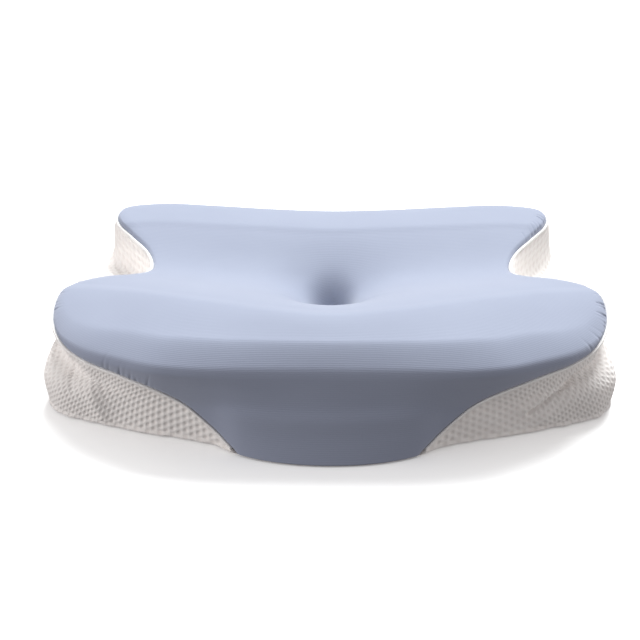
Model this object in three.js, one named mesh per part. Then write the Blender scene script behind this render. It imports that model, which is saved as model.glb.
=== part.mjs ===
import * as THREE from 'three';

// A contoured neck pillow: one filled cushion with a white knitted side, a blue-grey jersey
// panel stretched over its top and down its front, and a white binding sewn along their seam.
// Sizes are in millimetres. The front faces -Y, +Z is up, and z = 0 is the surface it rests on.

// Cloth and seam
const PANEL_THICKNESS = 2.5;
const CLEARANCE = 0.3;
const BINDING_WIDTH = 3;
const BINDING_RISE = 1;
const BINDING_START_HEIGHT = 5;
const PANEL_HEM_HEIGHT = 2.4;

// How the edge of the top turns over into the sides
const EDGE_WIDTH = 15;
const BROW_WIDTH = 28;
const RIM_FILLET = 8;
const BASE_INSET = 12;
const SHOULDER_OUT = 0.7;
const SHOULDER_DOWN = 0.42;

// How the brow's share follows the direction of the rim, and how both kinds of edge fall
const FRONT_LIMIT = -40;
const BROW_GAIN = 1.5;
const BROW_LEAST = 0.35;
const BROW_SOFTENING = 4;
const BROW_POWER = 1.25;

// How much wider the brow grows towards the wings, and how far out it has done so
const BROW_SPREAD = 6;
const BROW_SPREAD_REACH = 150;
const BROW_SPREAD_POWER = 1.5;

// How the cushion's side gives way to the panel where the seam meets the floor
const FOOT_FADE = 6;
const FOOT_SPREAD = 0.6;
const LEAST_SEAM = BASE_INSET - 1;
const LEAST_SIDE = 6;
const LEAST_BELOW = 2.4;
const LEAST_ABOVE = 3;
const GROOVE_WALL = 0.2;
const BASE_TOLERANCE = 0.01;

// Mesh fineness
const COLUMNS = 80;
const SIDE_STEPS = 8;
const EDGE_STEPS = 8;
const SIDE_ROWS = 10;
const TOP_ROWS = 5;
const PANEL_STEPS = { below: 3, fillet: 3, above: 2 };
const HOLLOW_RADII = [80, 62, 50, 41, 34, 28, 23, 18, 13, 7];

// The right half of the outline, from the middle of the front to the middle of the back.
// rim: where the top turns over; waist: the drawn-in side under it; lobe: the bulge of the
// lower layer; base: the edge on the floor; drop: how far below the rim the seam runs.
const OUTLINE = [
  { rim: [0, -170, 98], waist: [0, -173, 62], lobe: [0, -182, 28], base: [0, -190, 0], drop: 140 },
  { rim: [46, -170, 98], waist: [47, -171, 62], lobe: [47, -179, 28], base: [46, -186, 0], drop: 122 },
  { rim: [86, -170, 98], waist: [86, -167, 62], lobe: [86, -171, 28], base: [85, -174, 0], drop: 101 },
  { rim: [116, -169, 97], waist: [117, -159, 60], lobe: [117, -155, 28], base: [116, -154, 0], drop: 76 },
  { rim: [146, -166, 96], waist: [147, -151, 58], lobe: [147, -145, 27], base: [147, -143, 0], drop: 52 },
  { rim: [178, -159, 95], waist: [178, -142, 56], lobe: [180, -136, 27], base: [180, -135, 0], drop: 34 },
  { rim: [212, -142, 92], waist: [210, -129, 55], lobe: [214, -126, 27], base: [214, -125, 0], drop: 21 },
  { rim: [248, -120, 87], waist: [242, -109, 56], lobe: [251, -116, 30], base: [248, -112, 0], drop: 13 },
  { rim: [275, -90, 82], waist: [267, -83, 57], lobe: [281, -101, 31], base: [278, -99, 0], drop: 2 },
  { rim: [290, -53, 80], waist: [281, -49, 59], lobe: [297, -76, 30], base: [292, -75, 0], drop: -6 },
  { rim: [289, -14, 84], waist: [280, -14, 62], lobe: [293, -42, 32], base: [289, -43, 0], drop: -8 },
  { rim: [274, 10, 89], waist: [266, 7, 64], lobe: [285, -10, 37], base: [280, -10, 0], drop: -4 },
  { rim: [242, 24, 91], waist: [239, 25, 67], lobe: [282, 20, 40], base: [278, 20, 0], drop: 0 },
  { rim: [213, 31, 91], waist: [217, 34, 68], lobe: [282, 48, 40], base: [278, 48, 0], drop: 0 },
  { rim: [196, 51, 90], waist: [206, 53, 66], lobe: [284, 72, 40], base: [280, 72, 0], drop: 0 },
  { rim: [202, 82, 91], waist: [210, 78, 60], lobe: [284, 96, 39], base: [280, 96, 0], drop: 0 },
  { rim: [223, 113, 93], waist: [227, 109, 54], lobe: [283, 120, 37], base: [279, 120, 0], drop: 0 },
  { rim: [239, 138, 94], waist: [244, 136, 50], lobe: [277, 143, 35], base: [273, 143, 0], drop: 0 },
  { rim: [243, 161, 94], waist: [248, 159, 50], lobe: [262, 163, 30], base: [258, 163, 0], drop: 0 },
  { rim: [229, 179, 94], waist: [233, 180, 54], lobe: [238, 180, 30], base: [234, 178, 0], drop: 0 },
  { rim: [190, 186, 93], waist: [191, 188, 60], lobe: [193, 189, 30], base: [191, 186, 0], drop: 0 },
  { rim: [130, 185, 92], waist: [130, 187, 60], lobe: [131, 188, 30], base: [130, 185, 0], drop: 0 },
  { rim: [65, 182, 91], waist: [65, 184, 60], lobe: [65, 185, 30], base: [65, 182, 0], drop: 0 },
  { rim: [0, 180, 91], waist: [0, 182, 60], lobe: [0, 183, 30], base: [0, 180, 0], drop: 0 },
];

// The top's height along lines of constant x, as [y, height] from the back to the front.
const TOP = [
  { x: 0, back: [186, 93.5], ridge: [155, 97.5], shelf: [129, 98.5], lip: [117, 96], valley: [46, 83],
    slope: [-84, 120], crest: [-104, 124.5], brow: [-142, 119] },
  { x: 65, back: [188, 94.5], ridge: [158, 98.5], shelf: [131, 99.5], lip: [119, 97], valley: [50, 85],
    slope: [-74, 120], crest: [-94, 124], brow: [-142, 118.5] },
  { x: 130, back: [191, 96.5], ridge: [164, 100.5], shelf: [134, 100.5], lip: [122, 98], valley: [56, 87],
    slope: [-54, 118], crest: [-74, 122], brow: [-137, 117] },
  { x: 185, back: [194, 97.5], ridge: [168, 102.5], shelf: [136, 102], lip: [124, 99.5], valley: [61, 90],
    slope: [-34, 114], crest: [-54, 118], brow: [-124, 112] },
  { x: 230, back: [190, 97.5], ridge: [163, 101.5], shelf: [134, 101.5], lip: [121, 99], valley: [65, 93],
    slope: [-12, 106], crest: [-32, 109.5], brow: [-98, 105] },
  { x: 290, back: [188, 94], ridge: [158, 98], shelf: [130, 98], lip: [117, 95.5], valley: [65, 92],
    slope: [10, 95], crest: [-8, 98], brow: [-66, 90] },
];
const TOP_LINES = ['brow', 'crest', 'slope', 'valley', 'lip', 'shelf', 'ridge', 'back'];

// The round hollow in the middle, the funnel round it and the shallow bowl that leads into
// them. Each is "half" wide to either side at the front, grows wider towards the back by
// "spread", and fades out at "front" and "back", the more suddenly the higher its power.
const HOLLOW_Y = -4;
const DIPS = [
  { depth: 36, half: 18, spread: 0.14, front: 19, back: 50, power: 1.6 },
  { depth: 14, half: 31, spread: 0.35, front: 26, back: 62, power: 1.3 },
  { depth: 9, half: 55, spread: 0.3, front: 50, back: 95, power: 1.3 },
];

const clamp = (value, low, high) => Math.min(high, Math.max(low, value));

function spline(before, from, to, after, t) {
  const linear = (to - before) * t;
  const square = (2 * before - 5 * from + 4 * to - after) * t * t;
  const cube = (3 * from - before - 3 * to + after) * t ** 3;
  return 0.5 * (2 * from + linear + square + cube);
}

// A curve through rising points that never overshoots them, straight past both ends.
function monotoneCurve(points, at) {
  const last = points.length - 1;
  const slopes = [];
  for (let k = 0; k < last; k++) {
    slopes.push((points[k + 1][1] - points[k][1]) / (points[k + 1][0] - points[k][0]));
  }
  const tangent = (k) => {
    if (k === 0) return slopes[0];
    if (k === last) return slopes[last - 1];
    const [a, b] = [slopes[k - 1], slopes[k]];
    return a * b > 0 ? (2 * a * b) / (a + b) : 0;
  };
  if (at <= points[0][0]) return points[0][1] + slopes[0] * (at - points[0][0]);
  if (at >= points[last][0]) return points[last][1] + slopes[last - 1] * (at - points[last][0]);
  const k = points.findIndex((point, index) => index < last && at < points[index + 1][0]);
  const step = points[k + 1][0] - points[k][0];
  const t = (at - points[k][0]) / step;
  const ends = (2 * t ** 3 - 3 * t * t + 1) * points[k][1] + (3 * t * t - 2 * t ** 3) * points[k + 1][1];
  const bends = (t ** 3 - 2 * t * t + t) * tangent(k) + (t ** 3 - t * t) * tangent(k + 1);
  return ends + bends * step;
}

function mirroredCurve(value, at) {
  const right = TOP.map((row) => [row.x, value(row)]);
  const left = right.slice(1).reverse().map(([x, height]) => [-x, height]);
  return monotoneCurve([...left, ...right], at);
}

function dipDepth(dip, x, y) {
  const along = y - HOLLOW_Y;
  const half = dip.half + dip.spread * clamp(along, 0, dip.back);
  const reach = along < 0 ? dip.front : dip.back;
  return dip.depth * Math.exp(-(((x / half) ** 2 + (along / reach) ** 2) ** dip.power));
}

function topHeight(x, y) {
  const profile = TOP_LINES.map((line) => [
    mirroredCurve((row) => row[line][0], x),
    mirroredCurve((row) => row[line][1], x),
  ]);
  const dips = DIPS.reduce((sum, dip) => sum + dipDepth(dip, x, y), 0);
  return monotoneCurve(profile, y) - dips;
}

// The whole outline, counterclockwise from above, and smooth values at any place along it.
function mirroredRow(row) {
  const flip = ([x, y, z]) => [-x, y, z];
  const { rim, waist, lobe, base, drop } = row;
  return { rim: flip(rim), waist: flip(waist), lobe: flip(lobe), base: flip(base), drop };
}

const LOOP = [...OUTLINE, ...OUTLINE.slice(1, -1).reverse().map(mirroredRow)];

function outlineAt(column) {
  const place = (column * LOOP.length) / COLUMNS;
  const index = Math.floor(place);
  const rows = [-1, 0, 1, 2].map((shift) => LOOP[(index + shift + LOOP.length) % LOOP.length]);
  const blend = (value) => spline(...rows.map(value), place - index);
  const point = (name) => new THREE.Vector3(...[0, 1, 2].map((axis) => blend((row) => row[name][axis])));
  return {
    rim: point('rim'),
    waist: point('waist'),
    lobe: point('lobe'),
    base: point('base'),
    drop: blend((row) => row.drop),
  };
}

const around = (list, index) => list[(index + list.length) % list.length];

// Unit directions that point into the pillow, seen from above.
function inwardDirections(ring) {
  return ring.map((point, index) => {
    const along = around(ring, index + 1).clone().sub(around(ring, index - 1));
    return new THREE.Vector3(-along.y, along.x, 0).normalize();
  });
}

// 1 where the top meets the front in a flat sloping brow, 0 where its edge is round.
function browShares(rims, inward) {
  let shares = rims.map((rim, index) =>
    rim.y < FRONT_LIMIT ? clamp(BROW_GAIN * inward[index].y - BROW_LEAST, 0, 1) : 0);
  for (let pass = 0; pass < BROW_SOFTENING; pass++) {
    shares = shares.map((share, index) =>
      0.25 * around(shares, index - 1) + 0.5 * share + 0.25 * around(shares, index + 1));
  }
  return shares;
}

// A section is a polyline with the length along it at each of its points.
class Section {
  constructor(points) {
    this.points = points;
    this.lengths = [0];
    for (let k = 1; k < points.length; k++) {
      this.lengths.push(this.lengths[k - 1] + points[k].distanceTo(points[k - 1]));
    }
  }

  at(length) {
    const last = this.points.length - 2;
    const next = this.lengths.findIndex((value) => value > length);
    const k = next < 0 ? last : clamp(next - 1, 0, last);
    const t = (length - this.lengths[k]) / (this.lengths[k + 1] - this.lengths[k]);
    return this.points[k].clone().lerp(this.points[k + 1], t);
  }
}

function sidePoints(edge) {
  const share = new THREE.Vector3(SHOULDER_OUT, SHOULDER_OUT, SHOULDER_DOWN);
  const shoulder = edge.lobe.clone().sub(edge.waist).multiply(share).add(edge.waist);
  const stops = [edge.base, edge.lobe, shoulder, edge.waist, edge.rim];
  const first = edge.base.clone().multiplyScalar(2).sub(edge.lobe);
  const final = edge.rim.clone().multiplyScalar(2).sub(edge.waist);
  const chain = [first, ...stops, final];
  const points = [];
  for (let k = 1; k < stops.length; k++) {
    const near = chain.slice(k - 1, k + 3);
    for (let step = 0; step < SIDE_STEPS; step++) {
      const blend = (axis) => spline(...near.map((stop) => stop[axis]), step / SIDE_STEPS);
      points.push(new THREE.Vector3(blend('x'), blend('y'), blend('z')));
    }
  }
  return points;
}

function edgePoints(rim, inward, brow) {
  const sideways = clamp(Math.abs(rim.x) / BROW_SPREAD_REACH, 0, 1);
  const browWidth = BROW_WIDTH + BROW_SPREAD * sideways ** BROW_SPREAD_POWER;
  const width = EDGE_WIDTH + (browWidth - EDGE_WIDTH) * brow;
  const lift = topHeight(rim.x, rim.y) - rim.z;
  const points = [];
  for (let step = 0; step <= EDGE_STEPS; step++) {
    const t = step / EDGE_STEPS;
    const left = 1 - t;
    const drop = brow * left ** BROW_POWER + (1 - brow) * (1 - Math.sqrt(1 - left * left));
    const point = rim.clone().addScaledVector(inward, width * t);
    point.z = topHeight(point.x, point.y) - drop * lift;
    points.push(point);
  }
  return points;
}

// Rounds the corner at the rim with one curve from below it to past it.
function filletCorner(section, corner) {
  const middle = section.lengths[corner];
  const from = section.at(middle - RIM_FILLET);
  const over = section.points[corner];
  const to = section.at(middle + RIM_FILLET);
  const curve = new THREE.QuadraticBezierCurve3(from, over, to);
  const points = section.points.map((point, index) => {
    const t = (section.lengths[index] - middle + RIM_FILLET) / (2 * RIM_FILLET);
    return t > 0 && t < 1 ? curve.getPoint(t) : point;
  });
  return new Section(points);
}

// Rows of points up one section: the side up to the seam, two under the binding, then the
// panel from its hem over the rim to the ring where the top begins.
function sectionRows(section, corner, seam) {
  const footness = clamp((LEAST_SEAM + FOOT_FADE - seam) / FOOT_FADE, 0, 1);
  const sideEnd = seam - BINDING_WIDTH / 2 - CLEARANCE - GROOVE_WALL;
  const sideStart = Math.min(BASE_INSET, sideEnd - LEAST_SIDE);
  const rim = section.lengths[corner];
  const lengths = [0];
  for (let k = 0; k < SIDE_ROWS - 1; k++) {
    const point = 1 + Math.round((k * (corner - 1)) / (SIDE_ROWS - 2));
    const share = (section.lengths[point] - BASE_INSET) / (rim - BASE_INSET);
    lengths.push(sideStart + (sideEnd - sideStart) * share);
  }
  lengths.push(sideEnd + GROOVE_WALL + FOOT_SPREAD * footness, Math.max(seam, BASE_INSET));
  const hem = Math.max(seam + BINDING_WIDTH / 2 + CLEARANCE, BASE_INSET + PANEL_HEM_HEIGHT);
  const below = Math.max(rim - RIM_FILLET, hem + LEAST_BELOW);
  const above = Math.max(rim + RIM_FILLET, below + LEAST_ABOVE);
  const ring = section.lengths[corner + EDGE_STEPS];
  const steps = PANEL_STEPS;
  const stretches = [[hem, below, steps.below], [below, above, steps.fillet], [above, ring, steps.above]];
  for (const [from, to, count] of stretches) {
    for (let k = 0; k < count; k++) lengths.push(from + ((to - from) * k) / count);
  }
  lengths.push(ring);
  return { lengths, footness };
}

// Points over the top, from the ring to the middle of the hollow.
function topPoints(ring) {
  const centre = new THREE.Vector3(0, HOLLOW_Y, 0);
  const outward = new THREE.Vector3(ring.x, ring.y - HOLLOW_Y, 0);
  const reach = outward.length();
  outward.normalize();
  const distances = [];
  for (let k = 1; k < TOP_ROWS; k++) {
    distances.push(reach + ((HOLLOW_RADII[0] - reach) * k) / TOP_ROWS);
  }
  distances.push(...HOLLOW_RADII);
  return distances.map((distance) => {
    const point = centre.clone().addScaledVector(outward, distance);
    point.z = topHeight(point.x, point.y);
    return point;
  });
}

// The pillow's outer surface as columns of points, each with its outward normal.
function buildSurface() {
  const edges = Array.from({ length: COLUMNS }, (_, column) => outlineAt(column));
  const inward = inwardDirections(edges.map((edge) => edge.rim));
  const baseInward = inwardDirections(edges.map((edge) => edge.base));
  const brows = browShares(edges.map((edge) => edge.rim), inward);
  const corner = 1 + 4 * SIDE_STEPS;
  const columns = edges.map((edge, index) => {
    const start = edge.base.clone().addScaledVector(baseInward[index], BASE_INSET);
    const whole = [start, ...sidePoints(edge), ...edgePoints(edge.rim, inward[index], brows[index])];
    const section = filletCorner(new Section(whole), corner);
    const seam = Math.max(section.lengths[corner] - edge.drop, LEAST_SEAM);
    const { lengths, footness } = sectionRows(section, corner, seam);
    const points = lengths.map((length) => section.at(length));
    points.push(...topPoints(points.at(-1)));
    return { points, lengths, footness, seam, section };
  });
  columns.forEach((column, index) => {
    const [before, after] = [around(columns, index - 1), around(columns, index + 1)];
    column.normals = column.points.map((point, row) => {
      if (row < column.lengths.length && column.lengths[row] <= BASE_INSET + BASE_TOLERANCE) {
        return baseInward[index].clone().negate();
      }
      const across = after.points[row].clone().sub(before.points[row]);
      const upper = column.points[Math.min(row + 1, column.points.length - 1)];
      return across.cross(upper.clone().sub(column.points[row - 1])).normalize();
    });
  });
  return columns;
}

const SURFACE = buildSurface();
const PANEL_START = SIDE_ROWS + 2;

// Joins rows of points into faces. A row is a ring of points or a single point. Between the
// first "inner" rows the faces are split along the other diagonal, so that an inside lies
// parallel to the surface it covers.
function closedGeometry(rows, inner = 0) {
  const positions = [];
  const starts = rows.map((row) => {
    const start = positions.length / 3;
    row.forEach((point) => positions.push(point.x, point.y, point.z));
    return start;
  });
  const indices = [];
  for (let row = 0; row + 1 < rows.length; row++) {
    const [lower, upper] = [rows[row], rows[row + 1]];
    const count = Math.max(lower.length, upper.length);
    for (let k = 0; k < count; k++) {
      const next = (k + 1) % count;
      const index = (side, place) => starts[row + side] + (rows[row + side].length > 1 ? place : 0);
      const [low, high] = row + 1 < inner ? [next, k] : [k, next];
      if (lower.length > 1) indices.push(index(0, k), index(0, next), index(1, high));
      if (upper.length > 1) indices.push(index(0, low), index(1, next), index(1, k));
    }
  }
  const geometry = new THREE.BufferGeometry();
  geometry.setAttribute('position', new THREE.Float32BufferAttribute(positions, 3));
  geometry.setIndex(indices);
  geometry.computeVertexNormals();
  return geometry;
}

const offsetRow = (row, depth) => SURFACE.map((column) => {
  const distance = typeof depth === 'function' ? depth(column) : depth;
  return column.points[row].clone().addScaledVector(column.normals[row], -distance);
});

const hollowBottom = (depth) => [new THREE.Vector3(0, HOLLOW_Y, topHeight(0, HOLLOW_Y) - depth)];
const ROW_COUNT = SURFACE[0].points.length;

// The filled cushion: its white side as it shows, and under the panel sunk by the panel's
// thickness and the clearance.
function cushionGeometry() {
  const sunk = PANEL_THICKNESS + CLEARANCE;
  const rows = [[new THREE.Vector3(0, 0, 0)]];
  for (let row = 0; row < SIDE_ROWS; row++) rows.push(offsetRow(row, (column) => sunk * column.footness));
  for (let row = SIDE_ROWS; row < ROW_COUNT; row++) rows.push(offsetRow(row, sunk));
  rows.push(hollowBottom(sunk));
  return closedGeometry(rows);
}

// The jersey panel: one sheet from its hem at the seam to the bottom of the hollow.
function panelGeometry() {
  const rows = [hollowBottom(PANEL_THICKNESS)];
  for (let row = ROW_COUNT - 1; row >= PANEL_START; row--) rows.push(offsetRow(row, PANEL_THICKNESS));
  const inner = rows.length;
  for (let row = PANEL_START; row < ROW_COUNT; row++) rows.push(offsetRow(row, 0));
  rows.push(hollowBottom(0));
  return closedGeometry(rows, inner);
}

// The binding's cross-section, as places up from the seam and heights over the surface
const BINDING_HALF = BINDING_WIDTH / 2;
const BINDING_SHOULDER = 0.4;
const BINDING_CROWN = [
  [BINDING_HALF, -PANEL_THICKNESS],
  [BINDING_HALF, BINDING_SHOULDER],
  [BINDING_HALF / 2, BINDING_RISE],
  [-BINDING_HALF / 2, BINDING_RISE],
  [-BINDING_HALF, BINDING_SHOULDER],
  [-BINDING_HALF, -PANEL_THICKNESS],
];

// The binding: a narrow strip in the groove between the side and the panel, from one lower
// corner of the front panel round the back to the other.
function bindingGeometry() {
  const REACH = 1;
  const rings = [];
  SURFACE.forEach(({ section, seam }, index) => {
    if (seam < BASE_INSET + BINDING_START_HEIGHT) return;
    const [before, after] = [around(SURFACE, index - 1), around(SURFACE, index + 1)];
    const across = after.section.at(after.seam).sub(before.section.at(before.seam));
    rings.push(BINDING_CROWN.map(([along, rise]) => {
      const place = section.at(seam + along);
      const up = section.at(seam + along + REACH).sub(section.at(seam + along - REACH));
      return place.addScaledVector(across.clone().cross(up).normalize(), rise);
    }));
  });
  const middle = (ring) => {
    const sum = ring.reduce((total, point) => total.add(point), new THREE.Vector3());
    return [sum.divideScalar(ring.length)];
  };
  return closedGeometry([middle(rings[0]), ...rings, middle(rings.at(-1))]);
}

function addPart(group, name, geometry, color, roughness) {
  const material = new THREE.MeshStandardMaterial({ color, roughness, metalness: 0 });
  const mesh = new THREE.Mesh(geometry, material);
  mesh.name = name;
  group.add(mesh);
}

const pillow = new THREE.Group();
addPart(pillow, 'cushion', cushionGeometry(), 0xece6e0, 0.9);
addPart(pillow, 'top_panel', panelGeometry(), 0xb9c3d8, 0.75);
addPart(pillow, 'edge_binding', bindingGeometry(), 0xf4f2ee, 0.85);

export default pillow;
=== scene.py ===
"""A contoured neck pillow: a blue-grey jersey top over a filled cushion with a dimpled white side.

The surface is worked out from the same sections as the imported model, in millimetres, and every
piece is made finer than its solid: the side with its knitted dimples, the top panel with its
puckers along the seam, and the white binding between them.
"""
import math

import bpy
import numpy as np
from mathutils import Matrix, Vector


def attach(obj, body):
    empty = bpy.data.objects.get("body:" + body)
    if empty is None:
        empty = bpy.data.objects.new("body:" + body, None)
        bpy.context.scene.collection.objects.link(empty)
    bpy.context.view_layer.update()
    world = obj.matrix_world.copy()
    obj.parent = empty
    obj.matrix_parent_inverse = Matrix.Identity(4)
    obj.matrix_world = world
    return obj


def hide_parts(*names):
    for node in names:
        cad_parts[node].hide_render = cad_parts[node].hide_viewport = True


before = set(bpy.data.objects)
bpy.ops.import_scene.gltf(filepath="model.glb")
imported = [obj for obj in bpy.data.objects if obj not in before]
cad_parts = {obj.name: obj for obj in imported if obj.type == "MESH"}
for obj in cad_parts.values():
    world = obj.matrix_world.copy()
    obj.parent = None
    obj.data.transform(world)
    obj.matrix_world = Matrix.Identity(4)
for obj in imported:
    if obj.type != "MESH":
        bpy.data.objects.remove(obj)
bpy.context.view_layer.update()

MM = 0.001

# The right half of the outline, from the middle of the front to the middle of the back.
# rim x, y, z | waist x, y, z | lobe x, y, z | base x, y, z | seam's drop below the rim
OUTLINE = [
    ((0, -170, 98), (0, -173, 62), (0, -182, 28), (0, -190, 0), 140),
    ((46, -170, 98), (47, -171, 62), (47, -179, 28), (46, -186, 0), 122),
    ((86, -170, 98), (86, -167, 62), (86, -171, 28), (85, -174, 0), 101),
    ((116, -169, 97), (117, -159, 60), (117, -155, 28), (116, -154, 0), 76),
    ((146, -166, 96), (147, -151, 58), (147, -145, 27), (147, -143, 0), 52),
    ((178, -159, 95), (178, -142, 56), (180, -136, 27), (180, -135, 0), 34),
    ((212, -142, 92), (210, -129, 55), (214, -126, 27), (214, -125, 0), 21),
    ((248, -120, 87), (242, -109, 56), (251, -116, 30), (248, -112, 0), 13),
    ((275, -90, 82), (267, -83, 57), (281, -101, 31), (278, -99, 0), 2),
    ((290, -53, 80), (281, -49, 59), (297, -76, 30), (292, -75, 0), -6),
    ((289, -14, 84), (280, -14, 62), (293, -42, 32), (289, -43, 0), -8),
    ((274, 10, 89), (266, 7, 64), (285, -10, 37), (280, -10, 0), -4),
    ((242, 24, 91), (239, 25, 67), (282, 20, 40), (278, 20, 0), 0),
    ((213, 31, 91), (217, 34, 68), (282, 48, 40), (278, 48, 0), 0),
    ((196, 51, 90), (206, 53, 66), (284, 72, 40), (280, 72, 0), 0),
    ((202, 82, 91), (210, 78, 60), (284, 96, 39), (280, 96, 0), 0),
    ((223, 113, 93), (227, 109, 54), (283, 120, 37), (279, 120, 0), 0),
    ((239, 138, 94), (244, 136, 50), (277, 143, 35), (273, 143, 0), 0),
    ((243, 161, 94), (248, 159, 50), (262, 163, 30), (258, 163, 0), 0),
    ((229, 179, 94), (233, 180, 54), (238, 180, 30), (234, 178, 0), 0),
    ((190, 186, 93), (191, 188, 60), (193, 189, 30), (191, 186, 0), 0),
    ((130, 185, 92), (130, 187, 60), (131, 188, 30), (130, 185, 0), 0),
    ((65, 182, 91), (65, 184, 60), (65, 185, 30), (65, 182, 0), 0),
    ((0, 180, 91), (0, 182, 60), (0, 183, 30), (0, 180, 0), 0),
]

# The top's height along lines of constant x, front to back:
# x | brow | crest | slope | valley | lip | shelf | ridge | back, each as (y, height)
TOP = [
    (0, (-142, 119), (-104, 124.5), (-84, 120), (46, 83),
     (117, 96), (129, 98.5), (155, 97.5), (186, 93.5)),
    (65, (-142, 118.5), (-94, 124), (-74, 120), (50, 85),
     (119, 97), (131, 99.5), (158, 98.5), (188, 94.5)),
    (130, (-137, 117), (-74, 122), (-54, 118), (56, 87),
     (122, 98), (134, 100.5), (164, 100.5), (191, 96.5)),
    (185, (-124, 112), (-54, 118), (-34, 114), (61, 90),
     (124, 99.5), (136, 102), (168, 102.5), (194, 97.5)),
    (230, (-98, 105), (-32, 109.5), (-12, 106), (65, 93),
     (121, 99), (134, 101.5), (163, 101.5), (190, 97.5)),
    (290, (-66, 90), (-8, 98), (10, 95), (65, 92),
     (117, 95.5), (130, 98), (158, 98), (188, 94)),
]

# The round hollow and the shallow bowl around it
HOLLOW_Y = -4.0
DIPS = [
    dict(depth=36, half=18, spread=0.14, front=19, back=50, power=1.6),
    dict(depth=14, half=31, spread=0.35, front=26, back=62, power=1.3),
    dict(depth=9, half=55, spread=0.3, front=50, back=95, power=1.3),
]

# How the edge of the top turns over into the sides: round behind and at the wings, and at the
# front as a flat brow that grows wider towards the wings
EDGE_WIDTH = 15.0
BROW_WIDTH = 28.0
BROW_SPREAD = 6.0
BROW_SPREAD_REACH = 150.0
BROW_SPREAD_POWER = 1.5
BROW_POWER = 1.25
RIM_FILLET = 8.0
SHOULDER = np.array([0.7, 0.7, 0.42])

# How the brow's share follows the direction of the rim
FRONT_LIMIT = -40.0
BROW_GAIN = 1.5
BROW_LEAST = 0.35
BROW_SOFTENING = 2.0

# Cloth and seam
PANEL_THICKNESS = 2.5
CLEARANCE = 0.3
BINDING_WIDTH = 3.0
BINDING_RISE = 1.0

# Points up a section, between two of its stops and over its edge, and places worked out between
# two rows of the outline
SIDE_STEPS = 16
EDGE_STEPS = 24
EVEN_STEPS = 10
FINE_STEPS = 40


def spline(before, start, end, after, t):
    """A smooth way from start to end, with its direction taken from their neighbours."""
    linear = (end - before) * t
    square = (2 * before - 5 * start + 4 * end - after) * t**2
    cube = (3 * start - before - 3 * end + after) * t**3
    return 0.5 * (2 * start + linear + square + cube)


def monotone_curve(xs, ys, x):
    """Curves through rising points, one curve for each x, straight past both ends."""
    steps = np.diff(xs, axis=1)
    slopes = np.diff(ys, axis=1) / steps
    product = slopes[:, :-1] * slopes[:, 1:]
    total = slopes[:, :-1] + slopes[:, 1:]
    inner = np.where(product > 0, 2 * product / np.where(product > 0, total, 1), 0)
    tangents = np.concatenate([slopes[:, :1], inner, slopes[:, -1:]], axis=1)
    row = np.arange(len(x))
    k = np.clip((xs <= x[:, None]).sum(axis=1) - 1, 0, xs.shape[1] - 2)
    step = steps[row, k]
    t = (x - xs[row, k]) / step
    c = np.clip(t, 0, 1)
    ends = (2 * c**3 - 3 * c**2 + 1) * ys[row, k] + (3 * c**2 - 2 * c**3) * ys[row, k + 1]
    bends = (c**3 - 2 * c**2 + c) * tangents[row, k] + (c**3 - c**2) * tangents[row, k + 1]
    past = np.where(t < 0, t * tangents[row, k], np.where(t > 1, (t - 1) * tangents[row, k + 1], 0))
    return ends + (bends + past) * step


def dip_depth(dip, x, y):
    """How deep one dip is. Behind the hollow's middle it grows wider and reaches further."""
    along = y - HOLLOW_Y
    half = dip["half"] + dip["spread"] * np.clip(along, 0, dip["back"])
    reach = np.where(along < 0, dip["front"], dip["back"])
    return dip["depth"] * np.exp(-(((x / half) ** 2 + (along / reach) ** 2) ** dip["power"]))


def roll_height(x, y):
    """The top without its hollow."""
    right = np.array([row[0] for row in TOP], float)
    table = np.array([[value for point in row[1:] for value in point] for row in TOP], float)
    lines = np.concatenate([-right[:0:-1], right])
    table = np.concatenate([table[:0:-1], table])
    xs = np.broadcast_to(lines, (len(x), len(lines)))
    profile = [monotone_curve(xs, np.broadcast_to(c, xs.shape), x) for c in table.T]
    profile = np.stack(profile, axis=1)
    return monotone_curve(profile[:, 0::2], profile[:, 1::2], y)


def top_height(x, y):
    """The top with its hollow."""
    shape = np.shape(x)
    x, y = np.ravel(x), np.ravel(y)
    return (roll_height(x, y) - sum(dip_depth(dip, x, y) for dip in DIPS)).reshape(shape)


def outline_loop():
    """The whole outline, counterclockwise from above, with its left half mirrored."""
    flat = [[*row[0], *row[1], *row[2], *row[3], row[4]] for row in OUTLINE]
    right = np.array(flat, float)
    left = right[-2:0:-1].copy()
    left[:, [0, 3, 6, 9]] *= -1
    return np.concatenate([right, left])


LOOP = outline_loop()


def inward_directions(ring):
    """Unit directions that point into the pillow, seen from above."""
    along = np.roll(ring, -1, axis=0) - np.roll(ring, 1, axis=0)
    inward = np.stack([-along[:, 1], along[:, 0], np.zeros(len(ring))], axis=1)
    return inward / np.linalg.norm(inward, axis=1, keepdims=True)


def brow_shares(rim, inward, places):
    """1 where the top meets the front in a flat sloping brow, 0 where its edge is round."""
    share = np.clip(BROW_GAIN * inward[:, 1] - BROW_LEAST, 0, 1)
    raw = np.where(rim[:, 1] < FRONT_LIMIT, share, 0)
    gap = np.abs(places[:, None] - places[None, :])
    gap = np.minimum(gap, len(LOOP) - gap)
    weight = np.clip(1 - gap / BROW_SOFTENING, 0, None)
    return (weight @ raw) / weight.sum(axis=1)


def rows_at(places):
    """The outline's values at any places along it: rim, waist, lobe, base and the seam's drop."""
    index = np.floor(places).astype(int)
    rows = [LOOP[(index + shift) % len(LOOP)] for shift in (-1, 0, 1, 2)]
    return spline(*rows, (places - index)[:, None])


EVEN_PLACES = np.arange(len(LOOP) * EVEN_STEPS) / EVEN_STEPS
EVEN_RIM = rows_at(EVEN_PLACES)[:, 0:3]
BROWS = brow_shares(EVEN_RIM, inward_directions(EVEN_RIM), EVEN_PLACES)


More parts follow.
